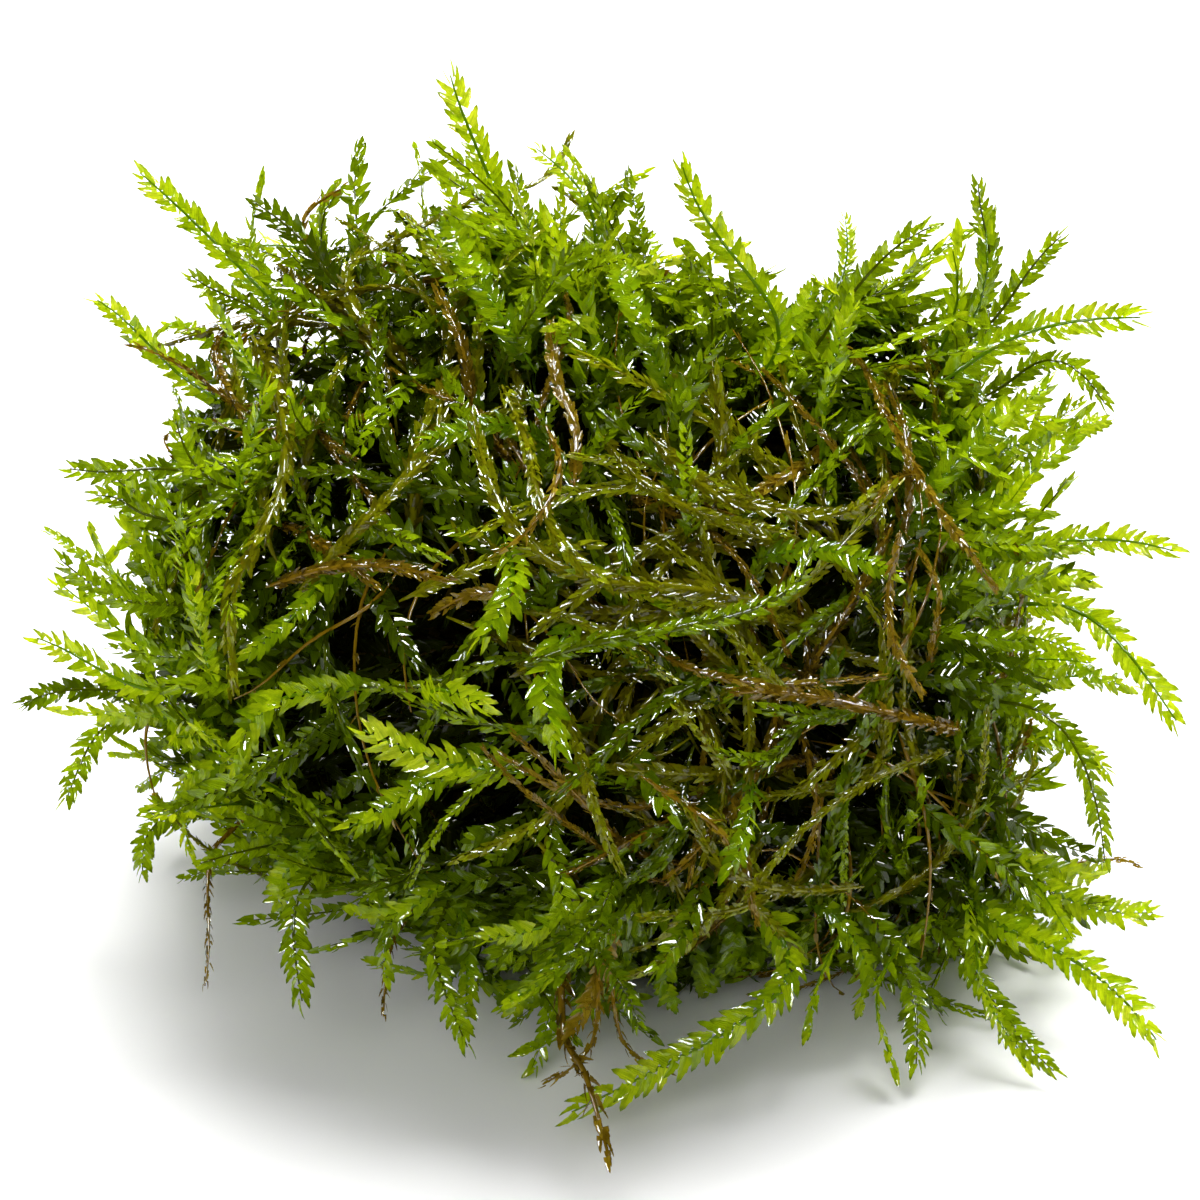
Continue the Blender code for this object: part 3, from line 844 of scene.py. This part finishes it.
FRESH_AND_PAINTED_LIGHT_SPOTS = (
    # azimuth, elevation and spread, in degrees, and how much lighter in tone than the rest:
    #     # partly fresher or older growth, partly painted light on the top and painted shade at
    #     the
    #     # lower left of the front
    (-32, -6, 30, 0.4),
    (-62, 0, 24, 0.9),
    (62, -28, 20, 1.6),
    (95, 32, 24, 1.5),
    (100, -5, 22, 0.9),
    (-95, 12, 26, 1.0),
    (0, 66, 22, 1.2),
    (30, 16, 28, -1.5),
    (45, -8, 18, -1.6),
    (-55, 44, 22, -1.6),
    (-22, -24, 16, -0.6),
    (-170, 20, 60, 0.4),
)


def freshness_and_painted_light(directions):
    """The sum over the spots of amount x exp(-(angle / spread)^2)."""
    total = np.zeros(len(directions))
    for azimuth, elevation, width, amount in FRESH_AND_PAINTED_LIGHT_SPOTS:
        angle = np.degrees(np.arccos(np.clip(directions @ direction(azimuth, elevation), -1, 1)))
        total += amount * np.exp(-((angle / width) ** 2))
    return total


for label, azimuth in (("front", 0), ("right", 90), ("left", -90)):
    print("freshness at the", label, np.round(freshness_and_painted_light(direction(azimuth, 0)[None]), 1))

# %% [markdown]
# ### Outer shoots
# The skin of the mat is leafy shoots of every age. The freshest get the paler material, older
# ones the green one. Few shoots start in a hollow or cross over it, and those that do get
# darker tones, painted shade of the hollow. Some shoots stand well up, so that the outline is
# feathery from every side.

# %% Outer shoots
HOLLOWS = (
    # azimuth, elevation and spread, in degrees
    (-38, 56, 10),
    (-46, 43, 10),
    (-50, 29, 8),
    (-31, 21, 10),
    (-32, 6, 10),
    (-18, 5, 12),
    (-27, -3, 12),
    (-43, 9, 7),
    (-50, -6, 8),
    (-12, -12, 8),
    (-60, 8, 7),
    (-5, 22, 8),
    (-16, 26, 8),
    (4, 8, 8),
    (-73, 21, 8),
    (34, -5, 14),
    (12, 20, 9),
    (24, 26, 10),
    (30, 38, 9),
    (38, 49, 10),
    (8, 46, 8),
    (160, 20, 14),
    (-120, 15, 12),
)


# The upper left is so loose that light shows through it.
LOOSE = ((-98, 46, 17), (-126, 40, 16))

OUTER_TRIED = 2700  # places tried; those in thin parts and hollows are then left out
UNDER_FROM, UNDER_SHARE = -0.62, 0.35  # below this height on the sphere, this share stays
HOLLOW_PULL, THINNEST = 2.2, -0.7  # how much a hollow thins the tufts, and the thinnest kept
PERKY_SHARE = 0.22  # share of the shoots that stand up
PALE_FROM = 6.0  # tone from which a shoot gets the fresh material


def inside_spots(directions, spots):
    """The largest exp(-(angle / spread)^2) over the spots: 1 in the middle of one, 0 far off."""
    closest = np.zeros(len(directions))
    for azimuth, elevation, width in spots:
        angle = np.degrees(np.arccos(np.clip(directions @ direction(azimuth, elevation), -1, 1)))
        closest = np.maximum(closest, np.exp(-((angle / width) ** 2)))
    return closest


def without_loose(directions, share, rng):
    """The directions with the given share of those in the loose part left out."""
    return directions[inside_spots(directions, LOOSE) * share < rng.random(len(directions))]


rng = np.random.default_rng(7)
places = spread(OUTER_TRIED, rng)
places = places[(places[:, 2] > UNDER_FROM) | (rng.random(len(places)) < UNDER_SHARE)]
tufts = waves(places, 17.0, rng) - HOLLOW_PULL * inside_spots(places, HOLLOWS)
places = places[tufts + rng.normal(0, 0.3, len(places)) > THINNEST]
places = without_loose(places, 0.55, rng)
count = len(places)
perky = rng.random(count) < PERKY_SHARE
paths, facings = mat_runs(
    places,
    headings(places, rng),
    rng.uniform(5.5, 15, count),
    depth=rng.uniform(0.66, 0.86, count),
    lift=rng.uniform(-2.8, 0.9, count),
    tip_lift=np.where(perky, rng.uniform(1.5, 7.0, count), rng.uniform(-3.2, 0.8, count)),
    facing_wander=0.4,
    rng=rng,
)
# Tones follow the spots: partly fresh growth, partly painted light on the top and painted shade
# low on the left.
tones = 3.6 + 1.2 * freshness_and_painted_light(places) + 0.7 * waves(places, 9.0, rng)
tones = tones + rng.normal(0, 1.2, count)
over_hollow = inside_spots(unit(paths[:, STEPS // 2] - HEART), HOLLOWS)
# Shoots over a hollow get darker tones: painted shade of the hollow.
tones = tones + 0.8 * perky - 1.5 * over_hollow
scale = rng.uniform(0.65, 1.25, count)
stays = over_hollow < rng.uniform(0.4, 1.3, count)
pale, broad, left = tones > PALE_FROM, scale > 1.0, places[:, 0] < 0
outer = {
    "mat_fresh_shoots": (pale, fresh, PLAIN_LEAF, -3.8),
    "mat_broad_shoots": (~pale & broad, green, PLAIN_LEAF, 0.6),
    "mat_narrow_shoots_left": (~pale & ~broad & left, green, DEEP_LEAF, 0.6),
    "mat_narrow_shoots_right": (~pale & ~broad & ~left, green, DEEP_LEAF, 0.6),
}
for name, (chosen, material, leaf, shift) in outer.items():
    chosen = chosen & stays
    arrays = shoot_arrays(
        paths[chosen],
        facings[chosen],
        "sprig",
        leaf,
        tones[chosen] + shift,
        scale[chosen],
        rng,
        3,
        7,
        0.2,
    )
    piece(name, arrays, material, "mat", "mat")
    print(name, int(chosen.sum()), "shoots,", made_triangles[name], "triangles")

# %% [markdown]
# ### Fronds that lie on the skin
# Some broad fresh fronds lie over the front, where they catch the light, and others stand out
# round the edge. Each is led over the mat through its own places, from the root to the tip.


# %% Led shoots
def smooth_through(knots, count):
    """Catmull-Rom: each span is the cubic through its four nearest knots; then evened out."""
    k = np.concatenate([[2 * knots[0] - knots[1]], knots, [2 * knots[-1] - knots[-2]]])
    t = np.linspace(0, 1, 12, endpoint=False)[:, None]
    a, b, c, d = (k[i : len(k) - 3 + i, None] for i in range(4))
    spans = b + (c - a) * t / 2 + (a * 2 - b * 5 + c * 4 - d) * t**2 / 2
    spans = spans + (b * 3 - a - c * 3 + d) * t**3 / 2
    return even(np.concatenate([spans.reshape(-1, 3), knots[-1:]]), count)


def led_over(places, lifts):
    """A line through heart + direction x (reach + lift in mm) for each (azimuth, elevation)
    place, and its facing, straight out from the heart."""
    toward = direction(*np.array(places, float).T)
    knots = HEART + toward * (reach(toward) + np.array(lifts, float))[:, None]
    path = keep_above_floor(smooth_through(knots, STEPS))
    return path, unit(path - HEART)


LED_FRONDS = (
    # places from root to tip, lifts, scale, tone
    (((-19, 68), (-50, 73), (-106, 72)), (-2, 2.0, 2.6), 1.0, 3.0),
    (((27, 58), (21, 70), (38, 84)), (-2, 1.6, 2.0), 0.95, 3.4),
    (((-6, 8), (-19, 11), (-28, 14)), (-3, 2.4, 3.0), 1.2, 5.4),
    (((-24, 14), (-19, 21), (-12, 20)), (-3, 2.2, 2.4), 1.0, 4.6),
    (((-14, 10), (-23, 5), (-30, 0)), (-3, 1.8, 2.6), 0.95, 3.4),
    (((-30, 17), (-41, 14), (-46, 4)), (-3, 2.6, 2.6), 1.1, 4.6),
    (((-20, -11), (-25, -15), (-36, -21)), (-2, 1.8, 3.0), 1.0, 4.8),
    (((7, -4), (-3, -9), (-13, -14)), (-2, 1.6, 2.2), 1.0, 4.2),
    (((-14, 41), (-10, 34), (-14, 27)), (-1, 2.2, 1.4), 1.1, 4.0),
    (((24, 8), (20, 5), (17, -2)), (-3, 1.4, 2.0), 0.85, 2.4),
    (((0, 32), (-5, 24), (-3, 15)), (-2, 1.8, 2.2), 1.1, 3.2),
    (((-48, 34), (-42, 26), (-46, 18)), (-3, 1.4, 2.4), 0.8, 3.2),
    (((86, 28), (92, 24), (98, 20)), (-3, 3.0, 7.5), 0.8, 4.4),
    (((84, 18), (90, 22), (96, 25)), (-3, 2.0, 5.0), 0.75, 3.8),
    (((78, -8), (84, -4), (90, -8)), (-3, 3.5, 8.5), 0.8, 4.2),
    (((-76, 44), (-84, 42), (-92, 44)), (-3, 2.0, 6.0), 0.8, 3.2),
    (((10, -34), (0, -38), (-10, -38)), (-3, 2.2, 5.0), 0.85, 4.0),
    (((-20, -36), (-28, -38), (-38, -34)), (-3, 1.6, 3.5), 0.8, 3.6),
    (((112, 44), (104, 50), (100, 58)), (-3, 2.0, 6.0), 0.8, 4.6),
    (((-58, 6), (-52, 14), (-56, 24)), (-3, 2.0, 4.0), 0.9, 4.4),
    (((-64, -4), (-58, 2), (-50, 6)), (-3, 2.0, 2.2), 0.9, 4.0),
    (((-70, 30), (-62, 36), (-64, 46)), (-2, 2.0, 4.0), 0.9, 3.6),
    (((-8, 56), (-20, 56), (-34, 50)), (-3, 1.6, 2.2), 0.8, 2.2),
    (((52, 42), (60, 52), (76, 56)), (-3, 1.6, 5.0), 1.0, 3.8),
    (((60, 30), (72, 34), (84, 33)), (-3, 2.4, 7.0), 1.0, 3.6),
    (((60, -16), (70, -20), (80, -24)), (-3, 3.0, 7.0), 1.0, 5.2),
    (((58, -22), (66, -26), (80, -30)), (-3, 2.6, 7.0), 0.9, 4.2),
    (((34, -16), (40, -24), (42, -34)), (-3, 2.0, 4.0), 0.9, 3.6),
    (((16, -18), (12, -26), (14, -34)), (-3, 1.6, 3.6), 0.8, 3.0),
    (((0, -20), (-8, -28), (-12, -34)), (-3, 1.6, 3.0), 0.9, 3.8),
    (((-44, -14), (-52, -22), (-56, -32)), (-3, 1.8, 3.0), 0.95, 3.8),
    (((30, 36), (38, 34), (46, 28)), (-2, 1.4, 2.0), 0.8, 2.6),
    (((56, 22), (71, 17), (76, 13)), (-2, 2.2, 6.6), 0.9, 4.6),
    (((54, 12), (65, 12), (67, 9)), (-2, 3.0, 7.0), 0.8, 4.0),
    (((-60, 2), (-75, -4), (-78, -4)), (-2, 1.8, 5.4), 0.85, 4.2),
    (((-52, 0), (-61, -7), (-55, -14)), (-2, 2.0, 5.4), 0.8, 4.8),
    (((44, -22), (32, -24), (29, -28)), (-2, 4.0, 8.0), 0.8, 3.6),
    (((50, -24), (40, -27), (38, -30)), (-1, 5.0, 11.0), 0.85, 4.6),
    (((58, -22), (50, -24), (50, -27)), (-1, 6.0, 12.0), 0.8, 4.6),
    (((-34, -12), (-31, -20), (-28, -25)), (-1, 2.5, 6.0), 0.85, 3.8),
    (((-20, -20), (-17, -25), (-16, -27)), (-1, 3.0, 7.0), 0.8, 3.4),
    (((-97, 46), (-122, 38), (-130, 40)), (-2, 1.5, 6.5), 0.75, 3.6),
    (((-88, 42), (-112, 30), (-116, 24)), (-2, 1.0, 4.0), 0.7, 3.8),
    (((-86, 56), (-128, 44), (-139, 42)), (-2, 0.5, 5.0), 0.7, 3.4),
    (((66, 60), (118, 50), (126, 46)), (-2, 0.6, 3.4), 0.85, 3.8),
    (((89, 55), (125, 40), (129, 37)), (-2, 1.4, 5.0), 0.85, 4.2),
)
led = [led_over(row[0], row[1]) for row in LED_FRONDS]
paths, facings = (np.stack(a) for a in zip(*led))
facings = unit(facings + 0.18 * rng.normal(0, 1, (len(led), 1, 3)))
arrays = shoot_arrays(
    paths,
    facings,
    "frond",
    FINE_LEAF,
    np.array([row[3] for row in LED_FRONDS]) - 0.6,
    np.array([row[2] for row in LED_FRONDS]),
    rng,
    5,
    13,
)
piece("mat_lying_fronds", arrays, fresh, "mat", "mat")
print("lying fronds:", made_triangles["mat_lying_fronds"], "triangles")

# %% [markdown]
# ### Ropes and twigs led the same way
# Some old shoots are long enough to be followed by eye: a hooked one over the crown, two that
# sweep down the middle, and thin bare twigs lying on the ground in front.

# %% Led ropes and twigs
HOOK = ((-100, 58), (-117, 67), (-154, 57), (-166, 57), (-174, 54), (-177, 53))
ROPE_ROWS = (
    # places from root to tip, lifts, scale, tone
    (HOOK, (0.5, 1.4, 1.6, 2.4, 4.2, 7.6), 0.72, 4.6),
    (((-44, 27), (-35, 39), (-31, 52), (-21, 59)), (0.6, 1.6, 1.6, 0.4), 0.75, 3.6),
    (((-24, 62), (-11, 52), (-7, 43), (2, 35), (17, 32)), (0.4, 1.8, 2.2, 1.8, 0.6), 0.72, 5.2),
    (((3, 55), (10, 47), (19, 42), (35, 37)), (0.4, 1.8, 2.0, 0.6), 0.60, 4.0),
    (((52, 2), (40, 4), (28, 2), (20, -8)), (0.4, 1.8, 2.4, 1.6), 0.55, 4.8),
)
TWIG_ROWS = (
    (((2, -14), (1, -27), (-5, -28)), (-1.0, 6.4, 9.4), 0.75, 3.4),
    (((3, -16), (5, -29), (11, -30)), (-1.0, 6.6, 9.0), 0.75, 3.8),
    (((7, 11), (16, 4), (19, -4)), (0.4, 1.8, 0.8), 0.8, 4.6),
    (((-9, 56), (-4, 48), (-9, 40), (-14, 38)), (0.6, 2.4, 2.2, 1.0), 0.8, 5.6),
)
DEAD_FROND_ROWS = ((((4, -12), (2, -22), (-2, -28)), (-1.0, 2.4, 5.6), 0.75, 4.4),)
LED_STRANDS = {
    "mat_led_ropes": (olive, "ribbon", ROPE_ROWS),
    "mat_led_twigs": (brown, "bare", TWIG_ROWS),
    "mat_led_dead_frond": (brown, "frond", DEAD_FROND_ROWS),
}
for name, (material, kind, rows) in LED_STRANDS.items():
    paths, facings = (np.stack(a) for a in zip(*(led_over(row[0], row[1]) for row in rows)))
    scale, tones = np.array([row[2] for row in rows]), np.array([row[3] for row in rows])
    arrays = shoot_arrays(paths, facings, kind, FINE_LEAF, tones, scale, rng, 5, 19)
    piece(name, arrays, material, "mat", "mat")
    print(name, len(rows), "shoots,", made_triangles[name], "triangles")

# %% [markdown]
# ### Middle and inner shoots
# Under the skin the shoots are older and darker, partly by age and partly as painted shade, and
# the heart is full of bare ones painted nearly black as shade. They close the view through the
# clump, so its gaps go dark without a ball inside.

# %% Middle and inner shoots
MIDDLE_TRIED, INNER_TRIED = 500, 330

places = without_loose(spread(MIDDLE_TRIED, rng), 0.9, rng)
count = len(places)
paths, facings = mat_runs(
    places,
    headings(places, rng, wander=1.6),
    rng.uniform(9, 15, count),
    depth=rng.uniform(0.5, 0.7, count),
    lift=rng.uniform(-6.5, -3.5, count),
    tip_lift=rng.uniform(-6.0, -2.5, count),
    facing_wander=0.7,
    rng=rng,
)
tones = 2.6 + 1.2 * freshness_and_painted_light(places) + rng.normal(0, 1.4, count)
scale = rng.uniform(1.0, 1.4, count)
arrays = shoot_arrays(paths, facings, "sprig", DEEP_LEAF, tones, scale, rng, 3, 6, 0.15)
piece("mat_middle_shoots", arrays, deep, "mat", "mat")
print("middle:", made_triangles["mat_middle_shoots"], "triangles")

places = without_loose(spread(INNER_TRIED, rng, 0.2), 0.9, rng)
count = len(places)
paths, facings = mat_runs(
    places,
    headings(places, rng, wander=3.0),
    rng.uniform(16, 30, count),
    depth=rng.uniform(0.2, 0.6, count),
    lift=rng.uniform(-17, -7, count),
    tip_lift=rng.uniform(-15, -7, count),
    facing_wander=1.0,
    rng=rng,
)
tones = 0.6 + rng.normal(0, 1.0, count)
scale = rng.uniform(1.8, 2.6, count)
arrays = shoot_arrays(paths, facings, "ribbon", SLIVER, tones, scale, rng, 4, 7)
piece("mat_inner_shoots", arrays, deep, "mat", "mat")
print("inner:", made_triangles["mat_inner_shoots"], "triangles")

# %% [markdown]
# ### Ropes and threads over the skin
# Old shoots with their leaves pressed flat wind over the mat, mostly on the right of the front
# and over the upper left, with thin brown threads among them.


# %% Ropes and threads
def around(spots, each, rng):
    """For each spot, some directions = its own + 0.6 x its spread in radians x normal draws."""
    found = []
    for azimuth, elevation, width in spots:
        away = np.radians(width) * rng.normal(0, 0.6, (each, 3))
        found.append(unit(direction(azimuth, elevation) + away))
    return np.concatenate(found)


ROPE_SPOTS = (
    (18, 34, 24),
    (40, 18, 24),
    (30, -2, 24),
    (52, -14, 20),
    (62, 22, 22),
    (24, 10, 26),
    (-58, 44, 22),
    (-20, 48, 24),
    (150, 20, 50),
    (-150, 25, 50),
)
for label, material, kind, leaf, each, tone, size in (
    ("mat_olive_ribbons", olive, "ribbon", DEEP_LEAF, 10, 4.2, 0.75),
    ("mat_green_ribbons", green, "ribbon", DEEP_LEAF, 6, 4.6, 0.75),
    ("mat_brown_ribbons", brown, "ribbon", DEEP_LEAF, 4, 3.4, 0.55),
    ("mat_brown_threads", brown, "thread", DEEP_LEAF, 4, 3.0, 1.1),
):
    places = around(ROPE_SPOTS, each, rng)
    count = len(places)
    paths, facings = mat_runs(
        places,
        headings(places, rng, wander=2.0, fall=0.1),
        rng.uniform(11, 26, count),
        depth=rng.uniform(0.8, 0.95, count),
        lift=rng.uniform(0.2, 2.8, count),
        tip_lift=rng.uniform(-2.0, 2.4, count),
        facing_wander=0.35,
        rng=rng,
    )
    tones = tone + rng.normal(0, 1.6, count)
    scale = size * rng.uniform(0.6, 1.25, count)
    arrays = shoot_arrays(paths, facings, kind, leaf, tones, scale, rng, 6, 13, 0.1)
    piece(label, arrays, material, "mat", "mat")
    print(label, count, "shoots,", made_triangles[label], "triangles")

print("all pieces:", len(made_triangles), "triangles:", sum(made_triangles.values()))

# %% [markdown]
# ## Floor, light and camera
# A pale surface and broad soft lights: a large one above and behind, so that the leaf tips
# glow, and a weaker one in front. A ring of small ones makes the glints on the wet leaves.


# %% Stage
def plain_material(name, colour):
    """A matt surface of one colour for the floor."""
    made = bpy.data.materials.new(name)
    made.use_nodes = True
    shader = made.node_tree.nodes["Principled BSDF"]
    shader.inputs["Base Color"].default_value = (*colour, 1.0)
    shader.inputs["Roughness"].default_value = 0.9
    shader.inputs["Specular IOR Level"].default_value = 0.1
    return made


def flat_sheet(name, half):
    """A square sheet on the ground plane."""
    mesh = bpy.data.meshes.new(name)
    corners = [(-half, -half, 0), (half, -half, 0), (half, half, 0), (-half, half, 0)]
    mesh.from_pydata(corners, [], [(0, 1, 2, 3)])
    made = bpy.data.objects.new(name, mesh)
    bpy.context.scene.collection.objects.link(made)
    return made


floor = flat_sheet("floor", 3.0)
floor.data.materials.append(plain_material("pale_floor", (0.92, 0.92, 0.92)))

scene = bpy.context.scene
world = bpy.data.worlds.new("studio")
world.use_nodes = True
background = world.node_tree.nodes["Background"]
background.inputs["Color"].default_value = (1.0, 1.0, 1.0, 1.0)
background.inputs["Strength"].default_value = 0.25
scene.world = world
world.cycles_visibility.glossy = False


SMALL_LIGHT = 0.2  # metres
GLINTS = 14
MIDDLE = (0.0, 0.0, 0.025)


def add_light(name, place, target, size, power):
    """A square area light at the place, turned to the target. A large one lights the leaves
    and isn't mirrored in them; a small one is only mirrored, so that glints stay small."""
    lamp = bpy.data.lights.new(name, "AREA")
    lamp.size, lamp.energy = size, power
    made = bpy.data.objects.new(name, lamp)
    scene.collection.objects.link(made)
    made.location = place
    made.rotation_euler = (Vector(place) - Vector(target)).to_track_quat("Z", "Y").to_euler()
    made.visible_glossy = size < SMALL_LIGHT
    made.visible_diffuse = made.visible_transmission = size > SMALL_LIGHT


add_light("key_above_behind", (0.10, 0.35, 0.75), MIDDLE, 0.70, 17.5)
add_light("fill_front_left", (-0.28, -0.58, 0.50), MIDDLE, 0.50, 2.8)
for i in range(GLINTS):
    from_side = direction(-150 + 47 * i, 32 + 15 * (i % 4))
    add_light(f"glint_{i}", 0.6 * from_side, MIDDLE, 0.10, 2.4)

elevation, distance = math.radians(30), 0.337
lens = bpy.data.cameras.new("camera")
lens.lens, lens.sensor_width = 135, 36
lens.clip_start, lens.clip_end = 0.01, 20
camera = bpy.data.objects.new("camera", lens)
away, up = distance * math.cos(elevation), distance * math.sin(elevation)
camera.location = (0.0, -away, MIDDLE[2] + up)
camera.rotation_euler = (math.pi / 2 - elevation, 0, 0)
scene.collection.objects.link(camera)
scene.camera = camera
scene.view_settings.view_transform = "Standard"
print("small lights:", GLINTS, "camera from the middle, m:", distance)
